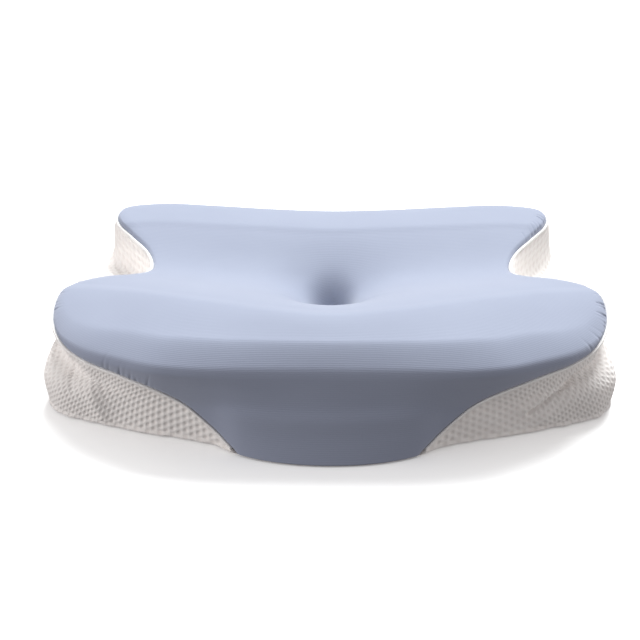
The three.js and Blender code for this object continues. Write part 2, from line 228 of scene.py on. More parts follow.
class Sections:
    """The outer surface up from the base: one section for each place round the outline."""

    def __init__(self, places):
        row = rows_at(places)
        self.rim, self.waist = row[:, 0:3], row[:, 3:6]
        self.lobe, self.base = row[:, 6:9], row[:, 9:12]
        self.inward = inward_directions(self.rim)
        self.base_inward = inward_directions(self.base)
        shoulder = self.waist + (self.lobe - self.waist) * SHOULDER
        stops = [self.base, self.lobe, shoulder, self.waist, self.rim]
        chain = [2 * self.base - self.lobe, *stops, 2 * self.rim - self.waist]
        points = []
        for k in range(1, len(stops)):
            for step in range(SIDE_STEPS):
                points.append(spline(*chain[k - 1 : k + 3], step / SIDE_STEPS))
        self.corner = len(points)
        brow = np.interp(places, EVEN_PLACES, BROWS, period=len(LOOP))
        sideways = np.clip(np.abs(self.rim[:, 0]) / BROW_SPREAD_REACH, 0, 1)
        brow_width = BROW_WIDTH + BROW_SPREAD * sideways**BROW_SPREAD_POWER
        width = EDGE_WIDTH + (brow_width - EDGE_WIDTH) * brow
        lift = top_height(self.rim[:, 0], self.rim[:, 1]) - self.rim[:, 2]
        for step in range(EDGE_STEPS + 1):
            t = 1 - math.cos(0.5 * math.pi * step / EDGE_STEPS)
            left = 1 - t
            drop = brow * left**BROW_POWER + (1 - brow) * (1 - math.sqrt(max(0, 1 - left * left)))
            point = self.rim + self.inward * (width * t)[:, None]
            point[:, 2] = top_height(point[:, 0], point[:, 1]) - drop * lift
            points.append(point)
        self.points = np.stack(points, axis=1)
        self.measure()
        self.fillet()
        self.measure()
        self.rim_length = self.lengths[:, self.corner]
        self.ring_length = self.lengths[:, -1]
        self.seam = self.rim_length - row[:, 12]

    def measure(self):
        """The length up each section at each of its points."""
        steps = np.linalg.norm(np.diff(self.points, axis=1), axis=2)
        self.lengths = np.concatenate([np.zeros((len(steps), 1)), np.cumsum(steps, axis=1)], axis=1)

    def fillet(self):
        """Round the corner at the rim with one curve from below it to past it."""
        middle = self.lengths[:, self.corner][:, None]
        start = self.at(middle - RIM_FILLET)
        end = self.at(middle + RIM_FILLET)
        over = self.points[:, self.corner][:, None]
        t = (self.lengths - middle + RIM_FILLET) / (2 * RIM_FILLET)
        w = t[:, :, None]
        curve = (1 - w) ** 2 * start + 2 * w * (1 - w) * over + w**2 * end
        self.points = np.where((w > 0) & (w < 1), curve, self.points)

    def at(self, lengths):
        """Points at the given lengths up each section, counted from the base's edge."""
        count = self.lengths.shape[1]
        found = np.empty(lengths.shape, int)
        for row in range(len(lengths)):
            found[row] = np.searchsorted(self.lengths[row], lengths[row], side="right") - 1
        k = np.clip(found, 0, count - 2)
        rows = np.arange(len(lengths))[:, None]
        low, high = self.lengths[rows, k], self.lengths[rows, k + 1]
        t = ((lengths - low) / (high - low))[:, :, None]
        return self.points[rows, k] * (1 - t) + self.points[rows, k + 1] * t

    def ring(self, lengths):
        """One point up each section, at its own length."""
        return self.at(lengths[:, None])[:, 0]

    def normals(self, lengths):
        """Outward unit normals at the given lengths up each section."""
        reach = 0.7
        middle = self.at(lengths)
        across = np.roll(middle, -1, axis=0) - np.roll(middle, 1, axis=0)
        upward = self.at(lengths + reach) - self.at(lengths - reach)
        normal = np.cross(across, upward)
        return normal / np.linalg.norm(normal, axis=2, keepdims=True)


def spread_places(count, ring_of, density=None):
    """Places round the outline, even along a ring or closer where its density is higher.

    Gives the places, their distances along the ring and the ring's whole length.
    """
    fine = np.arange(len(LOOP) * FINE_STEPS) / FINE_STEPS
    ring = ring_of(Sections(fine))
    steps = np.linalg.norm(np.roll(ring, -1, axis=0) - ring, axis=1)
    lengths = np.concatenate([[0], np.cumsum(steps)])
    weights = steps if density is None else steps * density(fine)
    weighted = np.concatenate([[0], np.cumsum(weights)])
    fine = np.append(fine, len(LOOP))
    places = np.interp(np.arange(count) * weighted[-1] / count, weighted, fine)
    return places, np.interp(places, fine, lengths), lengths[-1]


class Shell:
    """One closed mesh made of rings of points, each joined to the next one further out or up."""

    def __init__(self):
        self.points = []
        self.flat = []
        self.faces = []
        self.count = 0

    def ring(self, points, flat):
        """Adds points with their places on the flat cloth, and gives their numbers."""
        first = self.count
        self.points.append(points)
        self.flat.append(flat)
        self.count += len(points)
        return np.arange(first, self.count)

    def grid(self, points, flat, rows):
        """Adds columns of points that end after their own number of rows; gives each row's numbers."""
        keep = np.arange(points.shape[1]) <= rows[:, None]
        numbers = np.cumsum(keep.ravel()).reshape(keep.shape) - 1 + self.count
        numbers = np.maximum.accumulate(np.where(keep, numbers, 0), axis=1)
        self.ring(points[keep], flat[keep])
        return list(numbers.T)

    def join_all(self, rings):
        """Faces between each ring and the next."""
        for lower, upper in zip(rings, rings[1:]):
            self.join(lower, upper)

    def join(self, lower, upper):
        """Faces between two rings, where one may have half the other's points or be one point."""
        if len(lower) == 1:
            corners = [(np.resize(lower, len(upper)), np.roll(upper, -1), upper)]
        elif len(upper) == 1:
            corners = [(lower, np.roll(lower, -1), np.resize(upper, len(lower)))]
        elif len(lower) == len(upper):
            low_next, high_next = np.roll(lower, -1), np.roll(upper, -1)
            corners = [(lower, low_next, high_next), (lower, high_next, upper)]
        elif len(lower) > len(upper):
            start, middle, end = lower[0::2], lower[1::2], np.roll(lower[0::2], -1)
            next_up = np.roll(upper, -1)
            corners = [(start, middle, upper), (middle, next_up, upper), (middle, end, next_up)]
        else:
            start, middle, end = upper[0::2], upper[1::2], np.roll(upper[0::2], -1)
            next_low = np.roll(lower, -1)
            corners = [(lower, middle, start), (lower, next_low, middle), (next_low, end, middle)]
        self.faces.extend(np.stack(corner, axis=1) for corner in corners)

    def finish(self, name, turn=None):
        """Makes the object. Where a turn is given, flat places wrap round after that width."""
        points = np.concatenate(self.points) * MM
        flat = np.concatenate(self.flat)
        faces = np.concatenate(self.faces)
        a, b, c = faces.T
        faces = faces[(a != b) & (b != c) & (c != a)]
        mesh = bpy.data.meshes.new(name)
        mesh.from_pydata(points.tolist(), [], faces.tolist())
        mesh.polygons.foreach_set("use_smooth", np.ones(len(faces), bool))
        corners = flat[faces]
        if turn:
            wide = np.ptp(corners[:, :, 0], axis=1) > turn / 2
            corners[wide, :, 0] += np.where(corners[wide, :, 0] < turn / 2, turn, 0)
        mesh.uv_layers.new(name="cloth").data.foreach_set("uv", corners.ravel())
        mesh.validate()
        piece = bpy.data.objects.new(name, mesh)
        bpy.context.scene.collection.objects.link(piece)
        return piece


def smooth_step(value, low, high):
    """0 up to a low value, 1 from a high one on, and a soft rise between them."""
    t = np.clip((value - low) / (high - low), 0, 1)
    return t * t * (3 - 2 * t)


# Directions and relative frequencies of the waves that make a ripple
RIPPLE_WAVES = ((0.3, 1.0), (1.4, 1.27), (2.5, 0.83), (3.9, 1.61))


def ripple(u, v, size, phase):
    """Soft unevenness between about -1 and 1, from a few crossing waves of one size."""
    total = 0
    for turn, stretch in RIPPLE_WAVES:
        along = (u * math.cos(turn) + v * math.sin(turn)) * stretch / size
        total = total + np.sin(2 * math.pi * along + phase * (1 + turn))
    return total / len(RIPPLE_WAVES)


# The knit of the cushion's side: its pitches, its dimples, and the heights over the base and
# below the seam between which they fade
PITCHES_ROUND = 128
COLUMNS_A_PITCH = 11
KNIT_PITCH = 13.5
PITCH_UP = 8.6
CELL = 1.4
DIMPLE_DEPTH = 1.1
DIMPLE_RADIUS = 3.3
DIMPLE_FLOOR = 0.4
FADE_OVER_BASE = (4, 9)
FADE_UNDER_SEAM = (2, 6)

# Slack of the side's cloth, and the heights between which it sets in
SLACK = 0.8
SLACK_SIZE = 70
SLACK_START = (0, 20)

# Bands round the side's lower edge: its rolled seam with a groove over it, the ruffles in it, a
# wider wave, and the edge drawn in under it
WELT = dict(height=2.8, rise=1.3, width=1.8)
GROOVE = dict(height=6.2, rise=-0.8, width=1.4)
RUFFLES = 0.9
RUFFLE_SIZE = 24
BASE_WAVE = dict(height=0, rise=1.1, width=7)
BASE_WAVE_SIZE = 40
UNDERCUT = dict(height=0, rise=-2.4, width=1.6)

# The cushion's foot behind the panel's, and its core under the panel. A base ring takes one of
# so many columns at that share of the way out. A core ring takes one of so many columns, at that
# share of the way from the seam to the top's ring and that deep.
LEAST_SIDE = 0.5
FOOT_START = 5.0
FOOT_FADE = 6.0
SUNK = PANEL_THICKNESS + CLEARANCE
CORE_SUNK = 7.0
BASE_RINGS = ((8, 0.4), (4, 0.7), (2, 0.9))
CORE_RINGS = ((1, 0, SUNK), (2, 0, CORE_SUNK), (4, 0.5, CORE_SUNK), (4, 1, CORE_SUNK))
CORE_STEP = 8
CORE_SHARES = (0.25, 0.5, 0.75)
CORE_RADII = (52.0, 42.0, 35.0, 29.0, 24.0, 20.0, 16.0, 12.0, 8.0, 4.0)

# Folds of the side's cloth: places on the outline with heights up the side, rise and width
FOLDS = [
    dict(path=[(8.3, 78), (7.5, 68), (6.8, 52), (5.7, 26)], rise=-4.4, width=2.6),
    dict(path=[(8.0, 79), (7.2, 70), (6.5, 55), (5.5, 31)], rise=2.6, width=5.0),
    dict(path=[(7.9, 60), (7.1, 42), (6.2, 18)], rise=2.2, width=9.0),
    dict(path=[(38.9, 76), (39.2, 48), (39.5, 6)], rise=2.6, width=8.0),
    dict(path=[(38.3, 70), (38.6, 40)], rise=-1.8, width=6.0),
]

# Where the side's cloth is drawn aslant and narrow over its lobes: place on the outline,
# half its stretch, slant. Its dimples are shallower there, from those heights on.
SLANTS = [(7.9, 1.7, 0.8), (38.0, 2.1, -0.8)]
NARROWING = 0.7
LOBE_CALM = 0.5
CALM_START = (30, 55)


def near_lobes(places):
    """Each slant's share at the places."""
    return [np.exp(-(((places - place) / stretch) ** 2)) for place, stretch, _ in SLANTS]


def knit_across(places, distances, girth, lengths):
    """Pitches of the knit along the outline, closer together and aslant over the lobes."""
    steps = np.diff(np.append(distances, girth))
    drawn = steps * (1 + NARROWING * sum(near_lobes(places)))
    along = np.concatenate([[0], np.cumsum(drawn)])
    scale = PITCHES_ROUND / along[-1]
    lean = sum(share * slant for share, (_, _, slant) in zip(near_lobes(places), SLANTS))
    return (along[:-1, None] + lean[:, None] * lengths) * scale


def dimple(across, up):
    """1 in the middle of each dimple, 0 on the knit between them."""
    nearest = np.inf
    for shift in (0, 0.5):
        du = (across + shift - np.round(across + shift)) * KNIT_PITCH
        dv = (up + shift - np.round(up + shift)) * PITCH_UP
        nearest = np.minimum(nearest, np.hypot(du, dv))
    return smooth_step(-nearest, -DIMPLE_RADIUS, -DIMPLE_FLOOR)


def band(lengths, height, rise, width):
    """A soft band that runs round the side at one height."""
    return rise * np.exp(-(((lengths - height) / width) ** 2))


def fold_relief(places, distances, lengths):
    """Creases and folds across the side, each a soft line through its own places."""
    u = distances[:, None]
    total = np.zeros(lengths.shape)
    for fold in FOLDS:
        across = [np.interp(place, places, distances) for place, _ in fold["path"]]
        up = [height for _, height in fold["path"]]
        nearest = np.full(lengths.shape, np.inf)
        for k in range(len(up) - 1):
            du, dv = across[k + 1] - across[k], up[k + 1] - up[k]
            share = np.clip(((u - across[k]) * du + (lengths - up[k]) * dv) / (du**2 + dv**2), 0, 1)
            gap = np.hypot(u - across[k] - share * du, lengths - up[k] - share * dv)
            nearest = np.minimum(nearest, gap)
        total += fold["rise"] * np.exp(-((nearest / fold["width"]) ** 2))
    return total


def side_relief(sections, places, distances, lengths, across):
    """How far the side stands proud of its smooth form, in millimetres."""
    u = distances[:, None]
    below_seam = sections.seam[:, None] - lengths
    fade = smooth_step(lengths, *FADE_OVER_BASE) * smooth_step(below_seam, *FADE_UNDER_SEAM)
    lobes = sum(near_lobes(places))[:, None]
    calm = 1 - LOBE_CALM * lobes * smooth_step(lengths, *CALM_START)
    dimples = -DIMPLE_DEPTH * dimple(across, lengths / PITCH_UP) * fade * calm
    slack = SLACK * ripple(u, lengths, SLACK_SIZE, phase=0.4)
    slack *= smooth_step(lengths, *SLACK_START) * fade
    welt = band(lengths, **WELT) + band(lengths, **GROOVE)
    edge = welt * (1 + RUFFLES * ripple(u, lengths, RUFFLE_SIZE, phase=2.0))
    edge += ripple(u, 0, BASE_WAVE_SIZE, phase=1.0) * band(lengths, **BASE_WAVE)
    edge += band(lengths, **UNDERCUT)
    return dimples + slack + edge + fold_relief(places, distances, lengths) * fade


def hollow_middle(depth):
    """The one point that deep under the middle of the hollow."""
    height = top_height(np.array([0.0]), np.array([HOLLOW_Y]))[0]
    return np.array([[0, HOLLOW_Y, height - depth]])


def top_normals(points):
    """Upward unit normals of the top at some points."""
    reach = 0.5
    x, y = points[:, 0], points[:, 1]
    slope_x = (top_height(x + reach, y) - top_height(x - reach, y)) / (2 * reach)
    slope_y = (top_height(x, y + reach) - top_height(x, y - reach)) / (2 * reach)
    normal = np.stack([-slope_x, -slope_y, np.ones(len(x))], axis=1)
    return normal / np.linalg.norm(normal, axis=1, keepdims=True)


def top_ring(sections, distance):
    """Points on the top, as far from the hollow's middle as worked out from the ring's distance."""
    outward = sections.ring(sections.ring_length) - np.array([0, HOLLOW_Y, 0])
    outward[:, 2] = 0
    reach = np.linalg.norm(outward, axis=1, keepdims=True)
    points = np.array([0, HOLLOW_Y, 0]) + outward / reach * distance(reach)
    points[:, 2] = top_height(points[:, 0], points[:, 1])
    return points


def under_surface(sections, lengths, depth):
    """Points at one length up each section, that deep under the surface and above the floor."""
    lengths = lengths[:, None]
    points = (sections.at(lengths) - sections.normals(lengths) * depth)[:, 0]
    points[:, 2] = np.maximum(points[:, 2], CLEARANCE)
    return points


def build_side():
    """The filled cushion: its side as it shows, its flat base, and its core under the panel."""
    count = PITCHES_ROUND * COLUMNS_A_PITCH
    places, distances, girth = spread_places(count, lambda s: 0.5 * (s.lobe + s.waist))
    sections = Sections(places)
    top = np.maximum(sections.seam - BINDING_WIDTH / 2 - CLEARANCE, LEAST_SIDE)
    rows = np.maximum(np.round(top / CELL).astype(int), 1)
    number = np.arange(rows.max() + 1)
    lengths = np.where(number >= rows[:, None], top[:, None], number * CELL)
    foot = np.clip((FOOT_START - sections.seam) / FOOT_FADE, 0, 1)
    across = knit_across(places, distances, girth, lengths)
    relief = side_relief(sections, places, distances, lengths, across) * (1 - foot[:, None])
    points = sections.at(lengths) + sections.normals(lengths) * relief[:, :, None]
    points += (sections.base_inward * (SUNK * foot)[:, None])[:, None]
    points[:, 0, 2] = 0
    points[:, :, 2] = np.maximum(points[:, :, 2], 0)
    flat = np.stack([across, lengths / PITCH_UP], 2)

    shell = Shell()
    base, seam_flat = points[:, 0], flat[:, -1]
    rings = [shell.ring(np.zeros((1, 3)), np.zeros((1, 2)))]
    for step, share in BASE_RINGS:
        rings.append(shell.ring(base[::step] * share, flat[::step, 0]))
    rings += shell.grid(points, flat, rows)
    height = sections.ring_length - top
    for step, share, depth in CORE_RINGS:
        core = under_surface(sections, top + height * share, depth)
        rings.append(shell.ring(core[::step], seam_flat[::step]))
    cores = []
    for share in CORE_SHARES:
        cores.append(top_ring(sections, lambda reach: reach + (CORE_RADII[0] - reach) * share))
    for radius in CORE_RADII:
        cores.append(top_ring(sections, lambda reach: np.full_like(reach, radius)))
    for core in cores:
        core = core[::CORE_STEP]
        rings.append(shell.ring(core - top_normals(core) * CORE_SUNK, seam_flat[::CORE_STEP]))
    rings.append(shell.ring(hollow_middle(CORE_SUNK), np.zeros((1, 2))))
    shell.join_all(rings)
    return shell.finish("knit_side", turn=PITCHES_ROUND)


# The jersey panel: how it dips into its seam, and where its hem reaches the floor instead
SEAM_DIP = 1.2
SEAM_DIP_REACH = 2.2
PANEL_HEM_HEIGHT = 2.4
SEWN_FROM = PANEL_HEM_HEIGHT - 1
SEWN_FULLY = PANEL_HEM_HEIGHT + 4

# Its columns and rows: below the rim, round it, over the edge and over the top, then rings in
# the bowl, where every fourth, eighth or sixteenth column goes on from one radius to another
PANEL_COLUMNS = 1152
LEAST_BELOW = 2.4
LEAST_ABOVE = 3.0
FIRST_ROW_STEP = 1.0
ROW_GROWTH = 0.2
LAST_ROW_STEP = 5.0
MOST_ROWS = 60
FILLET_ROWS = 9
EDGE_ROWS = 6
TOP_ROWS = 30
BOWL_RADIUS = 87.0
BOWL_STEP = 3.0
BOWL_STRETCHES = [(4, 84, 40), (8, 39, 16), (16, 15, 2)]

# Puckers along the seam: place on the outline, half their stretch, depth, spacing, reach up the
# panel and slant
PUCKERS = [
    dict(place=9.5, half=48, depth=2.6, spacing=6.0, reach=15, slant=0.35),
    dict(place=7.7, half=36, depth=1.2, spacing=6.5, reach=13, slant=0.3),
    dict(place=16.6, half=36, depth=2.0, spacing=6.0, reach=20, slant=-0.6),
    dict(place=36.4, half=24, depth=2.2, spacing=5.5, reach=12, slant=-0.4),
    dict(place=40.2, half=38, depth=1.8, spacing=6.5, reach=18, slant=-0.2),
]
PUCKER_ONSET = 3.0

# How depth and reach differ from fold to fold: mean, swing and turn
FOLD_DEPTHS = (0.55, 0.45, 2.4)
FOLD_REACHES = (0.65, 0.35, 1.7)

# Faint even puckers all along the seam
FAINT_PUCKERS = 260
FAINT_DEPTH = 0.18
FAINT_REACH = 7.0

# Columns lie closer together as far as this from a pucker's place
CROWDED_NEAR = 1.7
CROWDING = 1.2


def column_density(places):
    """How close together the columns lie."""
    near = np.zeros(len(places))
    for pucker in PUCKERS:
        near = np.maximum(near, np.abs(places - pucker["place"]) < CROWDED_NEAR)
    return 1 + CROWDING * near


def varied(fold, mean, swing, turn, phase):
    return mean + swing * np.sin(fold * turn + phase)


def pucker_depth(places, distances, girth, rise):
    """Puckers' depth at a rise up the panel from its hem, by column."""
    total = np.zeros(rise.shape)
    for index, pucker in enumerate(PUCKERS):
        centre = np.interp(pucker["place"], places, distances)
        along = (distances - centre + girth / 2) % girth - girth / 2
        along = along[:, None] + pucker["slant"] * rise
        window = np.clip(1 - (along / pucker["half"]) ** 2, 0, 1)
        fold = np.floor(along / pucker["spacing"] + 0.5)
        uneven = varied(fold, *FOLD_DEPTHS, phase=index)
        reach = pucker["reach"] * varied(fold, *FOLD_REACHES, phase=2 * index)
        wave = (0.5 + 0.5 * np.cos(2 * math.pi * along / pucker["spacing"])) ** 2
        fade = smooth_step(rise, 0, PUCKER_ONSET) * np.exp(-((rise / reach) ** 2))
        total += pucker["depth"] * window * uneven * wave * fade
    faint = 0.5 + 0.5 * np.cos(2 * math.pi * distances / girth * FAINT_PUCKERS)
    return total + FAINT_DEPTH * faint[:, None] * np.exp(-((rise / FAINT_REACH) ** 2))


class FlatMap:
    """Places on the flat cloth: across by x, along by the length of the profile at that x."""

    STEP = 2.0
    HALF = 320.0
    START_Y = -100.0
    WITHIN = 1.001

    def __init__(self):
        side = np.arange(-self.HALF, self.HALF + self.STEP, self.STEP)
        x, y = np.meshgrid(side, side, indexing="ij")
        height = roll_height(x.ravel(), y.ravel()).reshape(x.shape)
        lengths = np.hypot(self.STEP, np.diff(height, axis=1))
        run = np.concatenate([np.zeros((len(side), 1)), np.cumsum(lengths, axis=1)], axis=1)
        start = round((self.HALF + self.START_Y) / self.STEP)
        self.run = run - run[:, start : start + 1]

    def __call__(self, points):
        spot = np.clip((points[..., :2] + self.HALF) / self.STEP, 0, len(self.run) - self.WITHIN)
        i, j = np.floor(spot).astype(int).T
        a, b = (spot - np.floor(spot)).T
        low = self.run[i, j] * (1 - a) + self.run[i + 1, j] * a
        high = self.run[i, j + 1] * (1 - a) + self.run[i + 1, j + 1] * a
        return np.stack([points[..., 0], (low * (1 - b) + high * b).T], axis=-1)


FLAT_MAP = FlatMap()


def lower_rows(hem, below):
    """Lengths of rows up from the hem, close together at first, and each column's count of rows."""
    steps = np.minimum(FIRST_ROW_STEP + ROW_GROWTH * np.arange(MOST_ROWS), LAST_ROW_STEP)
    rises = np.concatenate([[0], np.cumsum(steps)])
    span = below - hem
    rows = np.maximum(np.searchsorted(rises, span - FIRST_ROW_STEP / 2), 1)
    number = np.arange(rows.max() + 1)
    rises = np.where(number >= rows[:, None], span[:, None], rises[number])
    return hem[:, None] + rises, rows


class Panel:
    """The stretched sheet, worked out from its sections: one face at a time, from hem to hollow."""

    def __init__(self):
        spread = spread_places(PANEL_COLUMNS, lambda s: s.ring(s.rim_length), column_density)
        self.places, self.distances, self.girth = spread
        self.sections = Sections(self.places)
        seam = self.sections.seam + BINDING_WIDTH / 2 + CLEARANCE
        self.hem = np.maximum(seam, PANEL_HEM_HEIGHT)
        self.sewn = smooth_step(seam, SEWN_FROM, SEWN_FULLY)
        self.below = np.maximum(self.sections.rim_length - RIM_FILLET, self.hem + LEAST_BELOW)
        self.above = np.maximum(self.sections.rim_length + RIM_FILLET, self.below + LEAST_ABOVE)
        self.ring_flat = FLAT_MAP(self.sections.ring(self.sections.ring_length))

    def surface(self, lengths, depth):
        """Points at lengths up the sections, that deep under the face, and their flat places."""
        sections = self.sections
        rise = lengths - self.hem[:, None]
        sink = pucker_depth(self.places, self.distances, self.girth, rise)
        sink += SEAM_DIP * np.exp(-((rise / SEAM_DIP_REACH) ** 2))
        sink *= self.sewn[:, None]
        points = sections.at(lengths) - sections.normals(lengths) * (sink + depth)[:, :, None]
        left = (sections.ring_length[:, None] - lengths)[:, :, None]
        flat = self.ring_flat[:, None] - sections.inward[:, None, :2] * left
        return points, flat * MM

    def face(self, shell, depth, sparse):
        """Adds one face's points to the shell and gives its rings from the hem to the middle."""
        lengths, rows = lower_rows(self.hem, self.below)
        points, flat = self.surface(lengths, depth)
        rings = shell.grid(points[::sparse], flat[::sparse], rows[::sparse])
        shares = [(self.below, self.above, step / FILLET_ROWS) for step in range(1, FILLET_ROWS + 1)]
        ring_length = self.sections.ring_length
        shares += [(self.above, ring_length, step / EDGE_ROWS) for step in range(1, EDGE_ROWS)]
        for start, end, share in shares:
            points, flat = self.surface((start + (end - start) * share)[:, None], depth)
            rings.append(shell.ring(points[::sparse, 0], flat[::sparse, 0]))
        for share in np.linspace(0, 1, TOP_ROWS // sparse + 1):
            points = top_ring(self.sections, lambda reach: reach + (BOWL_RADIUS - reach) * share)
            rings.append(self.top_points(shell, points, depth, 2 * sparse))
        for step, start, end in BOWL_STRETCHES:
            for radius in np.arange(start, end, -BOWL_STEP * sparse):
                points = top_ring(self.sections, lambda reach: np.full_like(reach, radius))
                rings.append(self.top_points(shell, points, depth, step * sparse))
        rings.append(self.top_points(shell, hollow_middle(0), depth, 1))
        return rings

    def top_points(self, shell, points, depth, step):
        """Adds one of so many of the top's points, that deep under its face."""
        points = points[::step]
        return shell.ring(points - top_normals(points) * depth, FLAT_MAP(points) * MM)


def build_panel():
    """The jersey sheet: its inner face, then its outer one, from the hollow to the hem and back."""
    panel = Panel()
    shell = Shell()
    inner = panel.face(shell, PANEL_THICKNESS, sparse=2)
    outer = panel.face(shell, 0, sparse=1)
    shell.join_all(inner[::-1] + outer)
    return shell.finish("jersey_panel")


# The binding: where it starts over the floor, how square its rounded top is, how uneven it lies
BINDING_COLUMNS = 1000
BINDING_START_HEIGHT = 5.0
BINDING_TOP_POINTS = 9
BINDING_SQUARENESS = (0.7, 0.6)
BINDING_UNEVEN = 0.12
BINDING_UNEVEN_SIZE = 9


def binding_profile():
    """Places across the strip and their rise, over its rounded top and back under it."""
    half = BINDING_WIDTH / 2
    angles = np.linspace(0, math.pi, BINDING_TOP_POINTS)
    power_along, power_up = BINDING_SQUARENESS
    along = half * np.sign(np.cos(angles)) * np.abs(np.cos(angles)) ** power_along
    rise = BINDING_RISE * np.sin(angles) ** power_up
    along = np.concatenate([[half], along, [-half]])
    rise = np.concatenate([[-PANEL_THICKNESS], rise, [-PANEL_THICKNESS]])
    return along, rise


def build_binding():
    """The strip along the seam, from one lower corner of the panel round the back to the other."""
    places, distances, _ = spread_places(BINDING_COLUMNS, lambda s: s.ring(s.seam))
    sections = Sections(places)
    along, rise = binding_profile()
    lengths = sections.seam[:, None] + along
    wavy = BINDING_UNEVEN * ripple(distances[:, None], along, BINDING_UNEVEN_SIZE, phase=1.0)
    normals = sections.normals(sections.seam[:, None])
    points = sections.at(lengths) + normals * (rise + wavy)[:, :, None]
    lengthwise = np.broadcast_to(distances[:, None], lengths.shape)
    flat = np.stack([lengthwise, lengths - lengths[:, :1]], 2) * MM
    shown = np.flatnonzero(sections.seam > BINDING_START_HEIGHT)
    shell = Shell()
    start, end = points[shown[0]].mean(axis=0), points[shown[-1]].mean(axis=0)
    rings = [shell.ring(start[None], flat[shown[0], :1])]
    rings += [shell.ring(points[column], flat[column]) for column in shown]
    rings.append(shell.ring(end[None], flat[shown[-1], :1]))
    shell.join_all(rings)
    return shell.finish("seam_binding")


# Materials: the plain color of each cloth, where nothing is painted over it, then its two blotchy
# shades, and the painted shade in the knit's dimples or the tone of the jersey's courses
KNIT = dict(
    plain=(0.86, 0.83, 0.8),
    dark=(0.91, 0.865, 0.84),
    light=(0.935, 0.915, 0.9),
    # the knit's darker warm color in its dimples is painted shade
    painted_pit_shade_and_course_tone=(0.66, 0.58, 0.545),
)
JERSEY = dict(
    plain=(0.5, 0.555, 0.68),
    dark=(0.285, 0.315, 0.415),
    light=(0.305, 0.338, 0.44),
    painted_pit_shade_and_course_tone=(0.24, 0.27, 0.36),
)
TAPE_COLOR = (0.95, 0.93, 0.915)
SHEEN_ROUGHNESS = 0.5
SPECULAR = 0.2

# The knit's loops in each pitch across and up, how strongly painted shade darkens its dimples, and its
# relief.
# Whole pitches are added to a place, so that it is above 0 before its fraction is taken.
LOOPS = (11, 7)
LOOP_SHARE = 0.35
PAINTED_PIT_SHADE = 0.22
KNIT_RELIEF = 0.4 * MM
KNIT_BLOTCHES = 14.0
PITCHES_ADDED = 40

# The jersey's courses and wales, and how far the courses wander
COURSE = 2.3 * MM
WALE = 1.4 * MM
WALE_SHARE = 0.2
COURSE_SHADING = 0.07
COURSE_DRIFT = 5.0
DRIFT_SCALE = 30.0
JERSEY_RELIEF = 0.06 * MM
JERSEY_BLOTCHES = 9.0

# The ribs of the binding
RIB = 1.3 * MM
RIB_RELIEF = 0.2 * MM


class Shader:
    """A node material: its principled surface, with helpers that add and link nodes."""

    def __init__(self, name, color, roughness, sheen):
        self.material = bpy.data.materials.new(name)
        self.material.use_nodes = True
        self.nodes = self.material.node_tree.nodes
        self.links = self.material.node_tree.links
        self.surface = self.nodes["Principled BSDF"]
        self.set(self.surface, "Base Color", (*color, 1))
        self.set(self.surface, "Roughness", roughness)
        self.set(self.surface, "Sheen Weight", sheen)
        self.set(self.surface, "Sheen Roughness", SHEEN_ROUGHNESS)
        self.set(self.surface, "Specular IOR Level", SPECULAR)
        cloth = self.nodes.new("ShaderNodeUVMap")
        cloth.uv_map = "cloth"
        split = self.nodes.new("ShaderNodeSeparateXYZ")
        self.links.new(cloth.outputs["UV"], split.inputs[0])
        self.across, self.along = split.outputs["X"], split.outputs["Y"]

    def set(self, node, socket, value):
        if isinstance(value, bpy.types.NodeSocket):
            self.links.new(value, node.inputs[socket])
        else:
            node.inputs[socket].default_value = value

    def math(self, operation, *values):
        node = self.nodes.new("ShaderNodeMath")
        node.operation = operation
        for index, value in enumerate(values):
            self.set(node, index, value)
        return node.outputs[0]

    def noise(self, scale):
        node = self.nodes.new("ShaderNodeTexNoise")
        self.set(node, "Scale", scale)
        return node.outputs["Fac"]

    def wave(self, value, period, offset=0.0):
        """0 to 1 and back once each period."""
        turns = self.math("MULTIPLY_ADD", value, 2 * math.pi / period, offset)
        return self.math("MULTIPLY_ADD", self.math("COSINE", turns), 0.5, 0.5)

    def mix(self, share, first, second):
        node = self.nodes.new("ShaderNodeMix")
        node.data_type = "RGBA"
        self.set(node, "Factor", share)
        for socket, color in ((node.inputs[6], first), (node.inputs[7], second)):
            if isinstance(color, bpy.types.NodeSocket):
                self.links.new(color, socket)
            else:
                socket.default_value = (*color, 1)
        return node.outputs[2]

    def paint(self, colors, share, scale):
        """Two blotchy shades, and a third one in its own share: painted shade in the knit's dimples,
        the tone of the jersey's courses.
        """
        cloth = self.mix(self.noise(scale), colors["dark"], colors["light"])
        self.links.new(self.mix(share, cloth, colors["painted_pit_shade_and_course_tone"]), self.surface.inputs["Base Color"])

    def bump(self, height, depth):
        node = self.nodes.new("ShaderNodeBump")
        self.set(node, "Height", height)
        self.set(node, "Distance", depth)
        self.links.new(node.outputs["Normal"], self.surface.inputs["Normal"])


def knit_material():
    """Off-white stretch knit: painted warm shade in its dimples, small loops between them."""
    shader = Shader("side_knit", KNIT["plain"], roughness=0.9, sheen=0.3)
    nearest = None
    for shift in (0.5, 0.0):
        squares = []
        for value, size in ((shader.across, KNIT_PITCH), (shader.along, PITCH_UP)):
            part = shader.math("FRACT", shader.math("ADD", value, shift + PITCHES_ADDED))
            offset = shader.math("MULTIPLY_ADD", part, size, -0.5 * size)
            squares.append(shader.math("MULTIPLY", offset, offset))
        square = shader.math("ADD", *squares)
        nearest = square if nearest is None else shader.math("MINIMUM", nearest, square)
    pits = shader.math("MULTIPLY_ADD", nearest, -1 / DIMPLE_RADIUS**2, 1.0)
    pits = shader.math("MAXIMUM", pits, 0.0)
    directions = zip((shader.across, shader.along), LOOPS)
    waves = [shader.wave(place, 1 / loops) for place, loops in directions]
    # the dimples are painted a darker warm color: painted shade in the knit's recesses
    shader.paint(KNIT, shader.math("MULTIPLY", pits, PAINTED_PIT_SHADE), KNIT_BLOTCHES)
    loops = shader.math("MULTIPLY", shader.math("MULTIPLY", *waves), LOOP_SHARE)
    shader.bump(shader.math("SUBTRACT", loops, pits), KNIT_RELIEF)
    return shader.material


